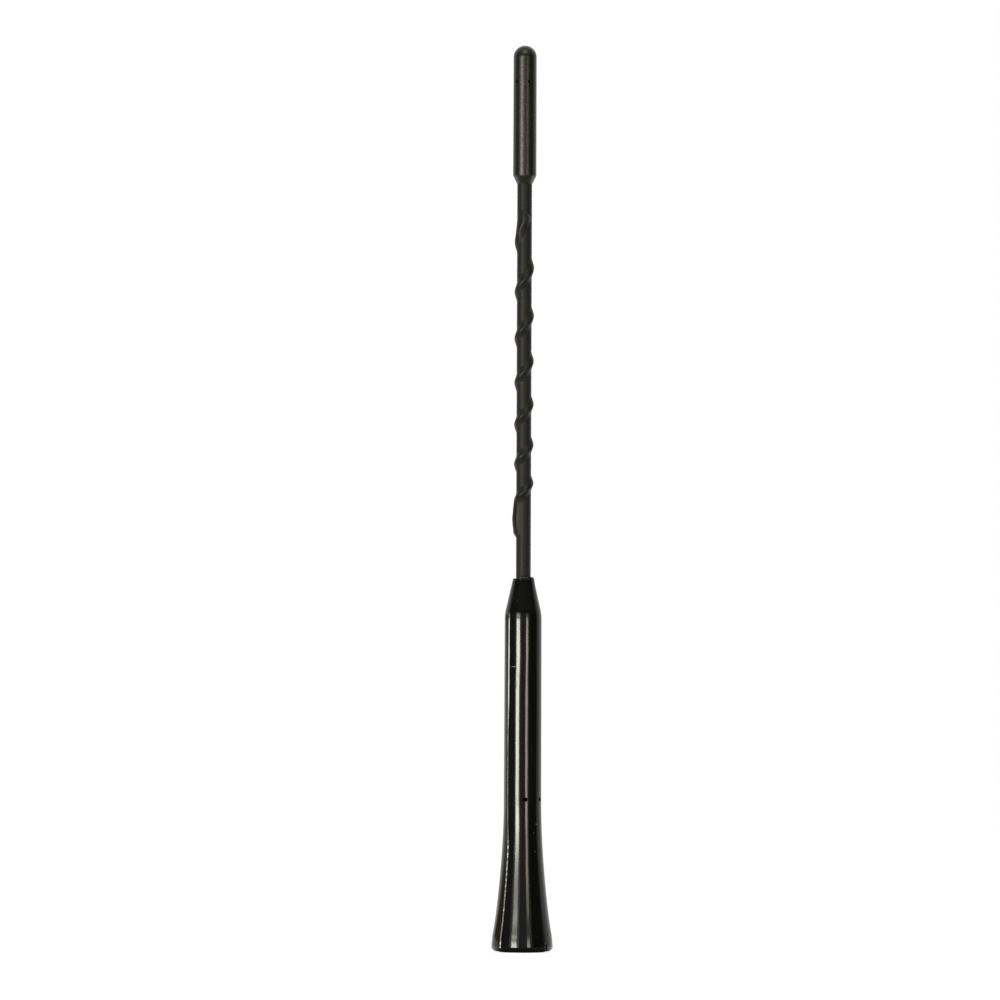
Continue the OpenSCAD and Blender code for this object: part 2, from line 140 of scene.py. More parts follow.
class MastCapSettings(bpy.types.PropertyGroup):
    """Sizes and colour of the tip cap."""
    top_d: length("Top", 7.1 * MM, "Diameter under the dome")
    bottom_d: length("Bottom", 7.2 * MM, "Diameter of the cap's lower end")
    lip_d: length("Lip", 4.85 * MM, "Diameter of the lip on the sleeve")
    cone_length: length("Cone", 2.9 * MM, "Length of the cone above the lip")
    roll_radius: length("Roll", 2 * MM, "Radius that rolls the cone into the barrel")
    pin_drop: length("Pin holes", 11.2 * MM, "Distance of the core-pin holes from the tip")
    pin_d: length("Pin hole", 1.25 * MM, "Diameter of the core-pin holes")
    mould_angle: angle("Mould", -7.6, "Direction in which the halves of the mould open")
    flash: length("Flash", 0.03 * MM, "Height of the flash on the parting line")
    colour: tint("Colour", (0.003, 0.003, 0.0024), "Satin black of the moulding")


class MastInsertSettings(bpy.types.PropertyGroup):
    """Sizes and colour of the brass insert."""
    thread_core_d: length("Thread core", 4.2 * MM, "Diameter inside the thread's crests")
    thread_d: length("Thread", 5 * MM, "Outside diameter of the thread")
    thread_pitch: length("Pitch", 0.8 * MM, "Pitch of the thread")
    thread_depth: length("Depth", 12 * MM, "Depth of full thread")
    flange_d: length("Flange", 9 * MM, "Diameter of the bottom flange")
    flange_length: length("Flange length", 2 * MM, "Thickness of the flange")
    groove_d: length("Groove", 6.4 * MM, "Diameter in the holding grooves")
    groove_length: length("Groove length", 1.2 * MM, "Width of each holding groove")
    knurl_d: length("Knurl", 8 * MM, "Diameter over the knurl")
    knurl_length: length("Knurl length", 12 * MM, "Length of the knurled barrel")
    knurl_depth: length("Knurl depth", 0.3 * MM, "Depth of the knurl")
    collar_length: length("Collar", 6 * MM, "Length of the plain collar")
    neck_d: length("Neck", 4.5 * MM, "Diameter of the neck")
    colour: tint("Colour", (0.70, 0.50, 0.20), "Turned brass")


class MastStageSettings(bpy.types.PropertyGroup):
    """Camera and light."""
    lens: amount("Lens", 400.0, "Focal length in millimetres", 20.0, 800.0)
    pixel: length("Pixel", 0.30898 * MM, "Real size of one pixel at the mast")
    seat_row: amount("Seat row", 951.8, "Row, out of 1000, where the seat's centre lies", 0.0, 1000.0)
    axis_column: amount("Axis column", 523.6, "Column, out of 1000, where the mast stands", 0.0, 1000.0)
    lean: angle("Lean", 0.2, "How far the mast leans to the right in the picture")
    floor_colour: tint("Floor", (0.35, 0.35, 0.35), "Pale floor")


def settings(name):
    """The settings of one part, kept on the scene."""
    return getattr(bpy.context.scene, name)


def arc(centre, radius, start, end, steps):
    """Points (r, z) of an arc, with angles in degrees from +r towards +z."""
    points = []
    for i in range(steps + 1):
        a = math.radians(start + (end - start) * i / steps)
        points.append((centre[0] + radius * math.cos(a), centre[1] + radius * math.sin(a)))
    return points


def roll_angle(point, centre, radius):
    """Angle in degrees at which a line from the point touches the circle."""
    dr, dz = point[0] - centre[0], point[1] - centre[1]
    return math.degrees(abs(math.atan2(dz, dr)) - math.acos(radius / math.hypot(dr, dz)))


def fill_between(points, step):
    """The same outline with points added so that none are further apart than step."""
    filled = [points[0]]
    for a, b in zip(points, points[1:]):
        count = max(1, math.ceil(math.dist(a, b) / step))
        for k in range(1, count + 1):
            filled.append((a[0] + (b[0] - a[0]) * k / count, a[1] + (b[1] - a[1]) * k / count))
    return filled


def smoothstep(low, high, value):
    """0 below low, 1 above high and a smooth rise between."""
    t = min(1.0, max(0.0, (value - low) / (high - low)))
    return t * t * (3 - 2 * t)


def from_front(a, r, z):
    """Place at an angle in degrees from the front, -Y, towards +X."""
    return (r * math.sin(math.radians(a)), -r * math.cos(math.radians(a)), z)


def turn(a):
    """An angle in degrees brought between -180 and 180."""
    return (a + 180) % 360 - 180


def new_piece(name, verts, faces, sharp_angle=35):
    """A smooth-shaded mesh object with creases sharper than an angle left hard."""
    mesh = bpy.data.meshes.new(name)
    mesh.from_pydata(verts, [], faces)
    bm = bmesh.new()
    bm.from_mesh(mesh)
    bmesh.ops.remove_doubles(bm, verts=bm.verts, dist=1e-8)
    bmesh.ops.recalc_face_normals(bm, faces=bm.faces)
    bm.to_mesh(mesh)
    bm.free()
    piece = bpy.data.objects.new(name, mesh)
    bpy.context.scene.collection.objects.link(piece)
    smooth(piece, sharp_angle)
    return piece


def smooth(piece, sharp_angle):
    """Smooth shading with hard creases."""
    mesh = piece.data
    mesh.polygons.foreach_set("use_smooth", [True] * len(mesh.polygons))
    mesh.set_sharp_from_angle(angle=math.radians(sharp_angle))
    mesh.update()


def bands(rows, count, closed):
    """Quads between rows of points round the mast, with the last row tied to the first if closed."""
    faces = []
    for i in range(rows if closed else rows - 1):
        upper = (i + 1) % rows
        for c in range(count):
            d = (c + 1) % count
            faces.append((i * count + c, i * count + d, upper * count + d, upper * count + c))
    return faces


def spin(name, outline, columns, closed, shift=None, sharp_angle=35):
    """Turns an outline of (r, z) points round the mast's axis.

    A closed outline is a ring's section. An open one starts and ends on the axis.
    shift(row, r, z, a) gives the change of r, z and a at one point.
    """
    verts = []
    count = len(columns)
    rows = outline if closed else outline[1:-1]
    for i, (r, z) in enumerate(rows):
        for a in columns:
            dr, dz, da = shift(i, r, z, a) if shift else (0.0, 0.0, 0.0)
            verts.append(from_front(a + da, r + dr, z + dz))
    faces = bands(len(rows), count, closed)
    if not closed:
        first, end = len(verts), len(verts) + 1
        verts.append((0.0, 0.0, outline[0][1]))
        verts.append((0.0, 0.0, outline[-1][1]))
        top = (len(rows) - 1) * count
        for c in range(count):
            d = (c + 1) % count
            faces.append((first, d, c))
            faces.append((end, top + c, top + d))
    return new_piece(name, verts, faces, sharp_angle)


RIDGE_COLUMNS = (-2.2, -1.2, -0.6, -0.5, 0.0, 0.2, 2.8, 3.0, 3.8)
RIDGE_STEEP, RIDGE_FLAT = -0.6, 3.0
RIDGE_REACH, RIDGE_CLEAR = 4.1, 4.8
CRACK_COLUMNS = (46.5, 47.25, 48.75, 49.5, 50.25, 51.75, 52.5, 53.25, 54.75, 55.5, 56.25, 57.75,
                 58.5)


def columns_with(count, partings, extra=()):
    """Even columns round the mast, with those that carry a ridge at each parting line and extra ones."""
    columns = {round(turn(i * 360 / count), 3) for i in range(count)}
    for centre in partings:
        columns = {a for a in columns if abs(turn(a - centre)) > RIDGE_CLEAR}
        columns |= {round(turn(centre + side), 3) for side in RIDGE_COLUMNS}
    return sorted(columns | set(extra))


def parting_ridge(a, centre, size, wander, narrow=1.0):
    """Height, from 0 to 1, and turn of one column near a parting line; its ridge has one steep side."""
    offset = turn(a - centre)
    da = wander * smoothstep(40, 8, abs(offset))
    if abs(offset) > RIDGE_REACH:
        return 0.0, da
    side = offset / (RIDGE_STEEP if offset < 0 else RIDGE_FLAT)
    return size * max(0.0, 1 - side), da + offset * (size * narrow - 1)


def drill(piece, places, radius):
    """Cuts round blind holes; places are (start, end) of each hole's axis."""
    cutter_mesh = bpy.data.meshes.new("drill")
    bm = bmesh.new()
    for start, end in places:
        axis = Vector(end) - Vector(start)
        matrix = Matrix.Translation((Vector(start) + Vector(end)) / 2)
        matrix @= axis.to_track_quat("Z", "Y").to_matrix().to_4x4()
        bmesh.ops.create_cone(bm, cap_ends=True, segments=32, radius1=radius, radius2=radius,
                              depth=axis.length, matrix=matrix)
    bm.to_mesh(cutter_mesh)
    bm.free()
    cutter = bpy.data.objects.new("drill", cutter_mesh)
    bpy.context.scene.collection.objects.link(cutter)
    cut = piece.modifiers.new("cut", "BOOLEAN")
    cut.operation = "DIFFERENCE"
    cut.solver = "EXACT"
    cut.object = cutter
    bpy.context.view_layer.update()
    graph = bpy.context.evaluated_depsgraph_get()
    made = bpy.data.meshes.new_from_object(piece.evaluated_get(graph))
    piece.modifiers.remove(cut)
    piece.data = made
    bpy.data.objects.remove(cutter)
    bpy.data.meshes.remove(cutter_mesh)


def pin_holes(mould_angle, height, pin_d, held_r, reach):
    """Axes of the four holes that two parallel pins in each half of a mould leave."""
    side = held_r + pin_d / 2 - PIN_BITE
    places = []
    for half in (0.0, 180.0):
        turned = Matrix.Rotation(math.radians(mould_angle + half), 3, "Z")
        for hand in (-1, 1):
            inner = turned @ Vector((hand * side, -pin_d / 4, 0.0))
            outer = turned @ Vector((hand * side, -reach, 0.0))
            places.append(((outer.x, outer.y, height), (inner.x, inner.y, height)))
    return places


def finish_piece(piece, material, slot_name, *nodes):
    """Gives a piece its material and ties it to the frame."""
    piece.data.materials.clear()
    piece.data.materials.append(material)
    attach(piece, BODY)
    if nodes:
        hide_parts(*nodes)


def new_group(name, inputs, outputs):
    """An empty shader node group with named float sockets."""
    group = bpy.data.node_groups.new(name, "ShaderNodeTree")
    for label, default in inputs:
        socket = group.interface.new_socket(name=label, in_out="INPUT", socket_type="NodeSocketFloat")
        socket.default_value = default
    for label in outputs:
        group.interface.new_socket(name=label, in_out="OUTPUT", socket_type="NodeSocketFloat")
    source = group.nodes.new("NodeGroupInput")
    sink = group.nodes.new("NodeGroupOutput")
    place = group.nodes.new("ShaderNodeTexCoord")
    return group, source, sink, place.outputs["Object"]


def math_node(tree, operation, a, b=None, clamp=False):
    """A math node fed by sockets or numbers; returns its output."""
    node = tree.nodes.new("ShaderNodeMath")
    node.operation = operation
    node.use_clamp = clamp
    for i, value in enumerate((a, b)):
        if value is None:
            continue
        if isinstance(value, (int, float)):
            node.inputs[i].default_value = value
        else:
            tree.links.new(value, node.inputs[i])
    return node.outputs[0]


def vector_node(tree, operation, vector, other=None):
    """A vector maths node fed by a socket and, if given, a fixed vector."""
    node = tree.nodes.new("ShaderNodeVectorMath")
    node.operation = operation
    tree.links.new(vector, node.inputs[0])
    if other is not None:
        node.inputs[1].default_value = other
    return node


def stretch(tree, vector, factors):
    """The vector scaled by three numbers."""
    return vector_node(tree, "MULTIPLY", vector, factors).outputs[0]


def once(name):
    """Builds a shader node group at its first use, and gives the same one from then on."""
    def wrap(build):
        def get():
            if name not in bpy.data.node_groups:
                build(name)
            return bpy.data.node_groups[name]
        get.__doc__ = build.__doc__
        return get
    return wrap


def noise_node(group, vector, source, detail):
    """Noise over a vector, at the group's own scale."""
    tex = group.nodes.new("ShaderNodeTexNoise")
    tex.inputs["Detail"].default_value = detail
    group.links.new(vector, tex.inputs["Vector"])
    group.links.new(source.outputs["Scale"], tex.inputs["Scale"])
    return tex


@once("Moulded grain")
def grain_group(name):
    """Fine moulded grain, as a height from 0 to 1."""
    group, source, sink, place = new_group(name, [("Scale", 4000.0), ("Roughness", 0.6)], ["Height"])
    tex = noise_node(group, place, source, 4.0)
    group.links.new(source.outputs["Roughness"], tex.inputs["Roughness"])
    group.links.new(tex.outputs["Fac"], sink.inputs["Height"])


@once("Skin waves")
def sink_group(name):
    """Slow waviness of a moulded or shrunk skin, as a height from 0 to 1."""
    group, source, sink, place = new_group(name, [("Scale", 200.0)], ["Height"])
    tex = noise_node(group, stretch(group, place, (1.0, 1.0, 0.22)), source, 1.5)
    group.links.new(tex.outputs["Fac"], sink.inputs["Height"])


@once("Reach from axis")
def reach_group(name):
    """How far a place lies from the mast's axis, as a mask between two radii."""
    group, source, sink, place = new_group(name, [("Low", 0.002), ("High", 0.003)], ["Mask"])
    size = vector_node(group, "LENGTH", stretch(group, place, (1.0, 1.0, 0.0)))
    ramp = group.nodes.new("ShaderNodeMapRange")
    ramp.interpolation_type = "SMOOTHSTEP"
    group.links.new(size.outputs["Value"], ramp.inputs["Value"])
    group.links.new(source.outputs["Low"], ramp.inputs["From Min"])
    group.links.new(source.outputs["High"], ramp.inputs["From Max"])
    group.links.new(ramp.outputs["Result"], sink.inputs["Mask"])


@once("Dust specks")
def dust_group(name):
    """Sparse pale specks, as a mask."""
    group, source, sink, place = new_group(
        name, [("Scale", 500.0), ("Amount", 0.08), ("Size", 0.12)], ["Mask"])
    cells = group.nodes.new("ShaderNodeTexVoronoi")
    cells.feature = "F1"
    group.links.new(place, cells.inputs["Vector"])
    group.links.new(source.outputs["Scale"], cells.inputs["Scale"])
    near = math_node(group, "LESS_THAN", cells.outputs["Distance"], source.outputs["Size"])
    split = group.nodes.new("ShaderNodeSeparateColor")
    group.links.new(cells.outputs["Color"], split.inputs["Color"])
    chosen = math_node(group, "LESS_THAN", split.outputs[0], source.outputs["Amount"])
    group.links.new(math_node(group, "MULTIPLY", near, chosen), sink.inputs["Mask"])


@once("Handling scuffs")
def scuff_group(name):
    """Fine handling scratches that run mostly along the mast, as a mask."""
    group, source, sink, place = new_group(name, [("Scale", 900.0), ("Threshold", 0.7)], ["Mask"])
    tex = noise_node(group, stretch(group, place, (1.0, 1.0, 0.06)), source, 3.0)
    over = math_node(group, "SUBTRACT", tex.outputs["Fac"], source.outputs["Threshold"])
    group.links.new(math_node(group, "MULTIPLY", over, 12.0, clamp=True), sink.inputs["Mask"])


# Each speck's direction in degrees, and its height, distance from the axis and radius in millimetres
SPECKS = ((46.6, 39.6, 5.92, 0.14), (34.6, 36.9, 6.03, 0.08), (38.1, 31.1, 6.34, 0.07))
# In millimetres: the scratch's middle, half its length, the radius of its curve and half its width
SCRATCH_PLACE = (-2.86, -4.988, 88.2)
SCRATCH_REACH, SCRATCH_CURVE, SCRATCH_WIDTH = 0.72, 1.6, 0.055


@once("Placed marks")
def placed_marks(name):
    """The short curved scratch on the barrel and the specks of dirt round the flare, as a mask."""
    group, source, sink, place = new_group(name, [], ["Mask"])

    def away(vector, point):
        return vector_node(group, "DISTANCE", vector, [c * MM for c in point]).outputs["Value"]

    x, _, z = SCRATCH_PLACE
    flat = stretch(group, place, (1.0, 0.0, 1.0))
    off = math_node(group, "SUBTRACT", away(flat, (x, 0.0, z + SCRATCH_CURVE)), SCRATCH_CURVE * MM)
    mask = math_node(group, "LESS_THAN", math_node(group, "ABSOLUTE", off), SCRATCH_WIDTH * MM)
    reach = math_node(group, "LESS_THAN", away(place, SCRATCH_PLACE), SCRATCH_REACH * MM)
    mask = math_node(group, "MULTIPLY", mask, reach)
    for a, height, r, size in SPECKS:
        spot = math_node(group, "LESS_THAN", away(place, from_front(a, r, height)), size * MM)
        mask = math_node(group, "MAXIMUM", mask, spot)
    group.links.new(mask, sink.inputs["Mask"])


def add_group(tree, group, **values):
    """Places a node group in a material with its own values."""
    node = tree.nodes.new("ShaderNodeGroup")
    node.node_tree = group
    for label, value in values.items():
        node.inputs[label].default_value = value
    return node


def new_material(name, colour, roughness, metallic=0.0):
    """A material with a Principled shader; returns the material, its tree and the shader."""
    material = bpy.data.materials.new(name)
    material.use_nodes = True
    tree = material.node_tree
    shader = tree.nodes["Principled BSDF"]
    shader.inputs["Base Color"].default_value = (*colour, 1.0)
    shader.inputs["Roughness"].default_value = roughness
    shader.inputs["Metallic"].default_value = metallic
    return material, tree, shader


def spread(tree, value, low, high):
    """The value, from 0 to 1, brought between low and high."""
    node = tree.nodes.new("ShaderNodeMapRange")
    node.inputs["To Min"].default_value = low
    node.inputs["To Max"].default_value = high
    tree.links.new(value, node.inputs["Value"])
    return node.outputs["Result"]


def tinted(tree, mask, colour, other):
    """A colour, or a socket that gives one, that turns into another where the mask is 1."""
    node = tree.nodes.new("ShaderNodeMix")
    node.data_type = "RGBA"
    if isinstance(colour, bpy.types.NodeSocket):
        tree.links.new(colour, node.inputs["A"])
    else:
        node.inputs["A"].default_value = (*colour, 1.0)
    node.inputs["B"].default_value = (*other, 1.0)
    tree.links.new(mask, node.inputs["Factor"])
    return node.outputs["Result"]


def bump(tree, height, distance, strength=1.0, normal=None):
    """A bump of a real height in metres."""
    node = tree.nodes.new("ShaderNodeBump")
    node.inputs["Strength"].default_value = strength
    node.inputs["Distance"].default_value = distance
    tree.links.new(height, node.inputs["Height"])
    if normal is not None:
        tree.links.new(normal, node.inputs["Normal"])
    return node.outputs["Normal"]


def grained(tree, shader, scale, low, high, height):
    """Ties the roughness, between low and high, and a fine relief to the moulded grain."""
    grain = add_group(tree, grain_group(), Scale=scale)
    tree.links.new(spread(tree, grain.outputs["Height"], low, high), shader.inputs["Roughness"])
    tree.links.new(bump(tree, grain.outputs["Height"], height), shader.inputs["Normal"])


def base_plastic():
    """Gloss black moulding with slow waviness, fine scuffs, a scratch and a few specks of dirt."""
    colour = settings("mast_base").colour
    material, tree, shader = new_material("base_gloss_black", colour, 0.1)
    dust = add_group(tree, dust_group(), Scale=420.0, Amount=0.05, Size=0.1)
    scuffs = add_group(tree, scuff_group(), Scale=1500.0, Threshold=0.66)
    marks = math_node(tree, "MAXIMUM", dust.outputs["Mask"],
                      math_node(tree, "MULTIPLY", scuffs.outputs["Mask"], 0.08))
    marked = tinted(tree, marks, colour, (0.10, 0.10, 0.09))
    placed = add_group(tree, placed_marks()).outputs["Mask"]
    tree.links.new(tinted(tree, placed, marked, (0.5, 0.5, 0.46)), shader.inputs["Base Color"])
    waves = add_group(tree, sink_group(), Scale=260.0)
    grain = add_group(tree, grain_group(), Scale=5200.0)
    rough = math_node(tree, "ADD", spread(tree, grain.outputs["Height"], 0.075, 0.125),
                      math_node(tree, "MULTIPLY", scuffs.outputs["Mask"], 0.18))
    tree.links.new(rough, shader.inputs["Roughness"])
    slow = bump(tree, waves.outputs["Height"], 0.035 * MM)
    mottle = add_group(tree, sink_group(), Scale=1000.0)
    slow = bump(tree, mottle.outputs["Height"], 0.006 * MM, normal=slow)
    tree.links.new(bump(tree, grain.outputs["Height"], 0.0006 * MM, normal=slow), shader.inputs["Normal"])
    return material


WARM_SHEEN = (1.0, 1.0, 0.91, 1.0)


def sleeve_plastic():
    """Satin black shrink sleeve, a little browner and duller in patches."""
    colour = settings("mast_sleeve").colour
    material, tree, shader = new_material("sleeve_satin_black", colour, 0.5)
    shader.inputs["Specular Tint"].default_value = WARM_SHEEN
    waves = add_group(tree, sink_group(), Scale=420.0)
    tree.links.new(tinted(tree, waves.outputs["Height"], [c * 0.8 for c in colour],
                          [c * 1.22 for c in colour]), shader.inputs["Base Color"])
    grain = add_group(tree, grain_group(), Scale=3200.0)
    ridge = add_group(tree, reach_group(), Low=2.35 * MM, High=2.9 * MM)
    dull = math_node(tree, "MULTIPLY", ridge.outputs["Mask"], -0.15)
    tree.links.new(math_node(tree, "ADD", spread(tree, grain.outputs["Height"], 0.47, 0.6), dull),
                   shader.inputs["Roughness"])
    slow = bump(tree, waves.outputs["Height"], 0.03 * MM)
    tree.links.new(bump(tree, grain.outputs["Height"], 0.006 * MM, normal=slow), shader.inputs["Normal"])
    return material


def cap_plastic():
    """Satin black moulding with a fine grain and a little dust."""
    colour = settings("mast_cap").colour
    material, tree, shader = new_material("cap_satin_black", colour, 0.34)
    shader.inputs["Specular IOR Level"].default_value = 0.8
    shader.inputs["Specular Tint"].default_value = WARM_SHEEN
    dust = add_group(tree, dust_group(), Scale=700.0, Amount=0.06, Size=0.13)
    tree.links.new(tinted(tree, dust.outputs["Mask"], colour, (0.08, 0.08, 0.07)),
                   shader.inputs["Base Color"])
    grained(tree, shader, 1500.0, 0.26, 0.4, 0.05 * MM)
    return material


def plain_finish(name, colour, low, high, metallic=0.0, waviness=600.0, shade=0.85, grain=4500.0,
                 height=0.003 * MM):
    """A plain finish with a slight change of colour over the surface and a fine grain."""
    material, tree, shader = new_material(name, colour, (low + high) / 2, metallic)
    waves = add_group(tree, sink_group(), Scale=waviness)
    tree.links.new(tinted(tree, waves.outputs["Height"], [c * shade for c in colour], colour),
                   shader.inputs["Base Color"])
    grained(tree, shader, grain, low, high, height)
    return material


SWAY = 0.24 * MM
CRACK_DEPTH = 0.55 * MM
NUB_HEIGHT = 0.16 * MM
LAND_BLEND = 0.16 * MM
RIM_STEP = 0.03 * MM


def base_outer_line(s):
    """Outside of the base from the seat ring up to the mouth."""
    foot_r, edge_z = s.foot_d / 2, s.seat_step + s.edge_radius
    barrel_low, barrel_high = s.barrel_bottom_d / 2, s.barrel_top_d / 2
    shoulder = (barrel_high - s.shoulder_radius, s.base_length - s.cone_length)
    rim = 0.3 * MM
    mouth_r = s.mouth_d / 2
    lean = roll_angle((mouth_r, s.base_length - rim), shoulder, s.shoulder_radius)
    line = [(s.seat_d / 2 - 0.1 * MM, 0.0), (s.seat_d / 2, 0.1 * MM), (s.seat_d / 2, s.seat_step)]
    line += arc((foot_r - s.edge_radius, edge_z), s.edge_radius, -90, 0, 16)
    flare_steps = 72
    for i in range(1, flare_steps + 1):
        z = edge_z + (s.flare_height - edge_z) * i / flare_steps
        share = (s.flare_height - z) / (s.flare_height - edge_z)
        share *= 1 + s.land * smoothstep(0.75, 1.0, share)
        flare = barrel_low + (foot_r - barrel_low) * share ** s.flare_power
        land = foot_r - (z - edge_z) * math.tan(s.land_draft)
        near = max(0.0, 1 - abs(flare - land) / LAND_BLEND)
        line.append((min(flare, land) - near * near * LAND_BLEND / 4, z))
    line += arc(shoulder, s.shoulder_radius, 0, lean, 10)
    line += arc((mouth_r - rim, s.base_length - rim), rim, 12, 90, 6)
    line = fill_between(line, 0.6 * MM)
    collar_r = mouth_r - 2 * rim
    return line + [(collar_r, s.base_length), (collar_r - RIM_STEP, s.base_length)]


def insert_levels(s):
    """Heights of the insert's steps: the top of the flange, both ends of the knurl and of the collar."""
    flange_top = insert_low.z + s.flange_length
    knurl_bottom = flange_top + s.groove_length
    knurl_top = knurl_bottom + s.knurl_length
    collar_bottom = knurl_top + s.groove_length
    return flange_top, knurl_bottom, knurl_top, collar_bottom, collar_bottom + s.collar_length


def base_inner_line(s, insert, sleeve):
    """Cavity of the base from the mouth down to the seat ring."""
    flange_top, knurl_bottom, knurl_top, collar_bottom, collar_top = insert_levels(insert)
    groove_r, knurl_r, flange_r = (d / 2 + FIT for d in (insert.groove_d, insert.knurl_d, insert.flange_d))
    collar_r = insert.knurl_d / 2 - 0.3 * MM
    neck_r = insert.neck_d / 2 + sleeve.wall + 2 * FIT
    solder_top = insert_high.z + 2 * MM
    bore_r = sleeve.rod_d / 2 + FIT
    return [
        (bore_r, s.base_length), (bore_r, solder_top + 2 * MM), (neck_r, solder_top),
        (neck_r, collar_top + FIT), (collar_r + FIT, collar_top + FIT), (collar_r + FIT, collar_bottom - FIT),
        (groove_r, collar_bottom - FIT), (groove_r, knurl_top + FIT), (knurl_r, knurl_top + FIT),
        (knurl_r, knurl_bottom - FIT), (groove_r, knurl_bottom - FIT), (groove_r, flange_top + FIT),
        (flange_r, flange_top + FIT), (flange_r, s.recess_depth), (s.recess_d / 2, s.recess_depth),
        (s.recess_d / 2, 0.1 * MM), (s.recess_d / 2 + 0.1 * MM, 0.0)]


def crack_angle(z):
    """Direction in degrees in which the crack in the foot's edge lies at a height."""
    return 51.3 + 4.5 * smoothstep(1.7 * MM, 0.2 * MM, z)


class MAST_OT_base(bpy.types.Operator):
    """Build the moulded base with its flared foot"""
    bl_idname = "mast.base"
    bl_label = "Moulded base"

    def execute(self, context):
        s, insert, sleeve = settings("mast_base"), settings("mast_insert"), settings("mast_sleeve")
        outer = base_outer_line(s)
        outline = outer + base_inner_line(s, insert, sleeve)
        mould = math.degrees(s.mould_angle)
        partings = (turn(mould - 90), turn(mould + 90))
        columns = columns_with(120, partings, CRACK_COLUMNS)
        outside = len(outer)

        def shift(row, r, z, a):
            if row >= outside:
                return 0.0, 0.0, 0.0
            strong = smoothstep(62 * MM, 80 * MM, z) + smoothstep(42 * MM, 34 * MM, z)
            faded = smoothstep(s.base_length - 5 * MM, s.base_length - 12 * MM, z)
            thin = 1 + 0.2 * noise.noise(Vector((z / (6.0 * MM), 2.0, 4.0)))
            thin += 0.3 * smoothstep(42 * MM, 30 * MM, z) * noise.noise(Vector((z / (1.3 * MM), 6.0, 4.0)))
            size = (0.2 + 0.7 * strong) * faded * thin + 0.03
            wander = 2.5 * smoothstep(64 * MM, 80 * MM, z) + 6.5 * smoothstep(46 * MM, 30 * MM, z)
            sway = smoothstep(92 * MM, 80 * MM, z) * smoothstep(32 * MM, 50 * MM, z)
            lean = math.radians(a + 8)
            dr, da = -SWAY * sway * lean * math.exp(-(lean / 0.7) ** 2), 0.0
            for parting in partings:
                up, twist = parting_ridge(a, parting, size, wander, s.barrel_top_d / 2 / r)
                dr += up * s.flash * (1 + 0.1 * sway)
                da += twist
            nub = math.exp(-(turn(a + 50) / 2.2) ** 2) * smoothstep(1.7 * MM, 1.0 * MM, z)
            dr += NUB_HEIGHT * nub
            crack = (a - crack_angle(z)) / 1.2
            dr -= CRACK_DEPTH * math.exp(-crack * crack) * smoothstep(2.9 * MM, 1.9 * MM, z)
            rag = noise.noise(Vector((a / 6.0, z / (0.5 * MM), 7.0)))
            torn = max(smoothstep(18, 30, a) * smoothstep(88, 70, a),
                       0.5 * smoothstep(-40, -28, a) * smoothstep(40, 28, a))
            burr = smoothstep(s.base_length - 1.2 * MM, s.base_length, z) * torn
            flap = smoothstep(24, 38, a) * smoothstep(78, 54, a)
            bulge = smoothstep(s.base_length - 2.6 * MM, s.base_length - 1.2 * MM, z)
            bulge *= smoothstep(30, 60, a) * smoothstep(120, 95, a)
            dr += (burr * (0.08 + 0.22 * rag) + 0.10 * bulge) * MM
            dz = burr * (0.10 + 0.25 * flap + 0.30 * rag) * MM
            if row == outside - 2:
                dz += 0.25 * MM * flap
            if row == outside - 1:
                dz += smoothstep(-40, -26, a) * smoothstep(34, 16, a) * (0.5 + 0.7 * rag) * MM
            return dr, dz, da

        piece = spin("base_moulding", outline, columns, True, shift)
        holes = pin_holes(mould, s.pin_height, s.pin_d, sleeve.rod_d / 2 + FIT, s.foot_d / 2)
        drill(piece, holes, s.pin_d / 2)
        smooth(piece, 35)
        finish_piece(piece, base_plastic(), "base_plastic", "base_cover")
        return {"FINISHED"}


def cord_route(s):
    """Stations of the cord from its upper end down: angle in degrees, height and radius."""
    side, up_turn, low_turn = 270.0, 0.3, 0.05
    drop = s.spiral_top - s.spiral_bottom
    turns = round(2 * drop / (s.top_pitch + s.low_pitch)) - low_turn
    mean = drop / turns
    change = mean * (s.top_pitch - s.low_pitch) / (s.top_pitch + s.low_pitch)
    end_z = s.spiral_bottom - s.lower_tail * 0.6

    def helix(t):
        if t < 0:
            return s.spiral_top - t * s.upper_tail / up_turn
        return s.spiral_top - (mean + change) * t + change / turns * t * t

    def radius(z):
        if z > s.spiral_bottom:
            return s.cord_d / 2
        if z > end_z:
            share = (s.spiral_bottom - z) / (s.spiral_bottom - end_z)
            return s.cord_d / 2 + (s.cord_end_d - s.cord_d) / 2 * share
        return s.cord_end_d / 2 - s.cord_d / 4 * (end_z - z) / (end_z - s.spiral_bottom + s.lower_tail)

    step = 1 / 96
    count = math.floor((turns + up_turn) / step)
    stations = []
    for i in range(count + 1):
        t = turns - (count - i) * step
        stations.append((side - 360 * t, helix(t), radius(helix(t))))
    entry = 2 * low_turn * (mean - change) / s.lower_tail
    tail_steps = 24
    for i in range(1, tail_steps + 1):
        u = i / tail_steps
        t = turns + low_turn * (1 - (1 - u) ** 2)
        z = s.spiral_bottom - s.lower_tail * (entry * u + (1 - entry) * u * u)
        stations.append((side - 360 * t, z, radius(z)))
    return np.array(stations)


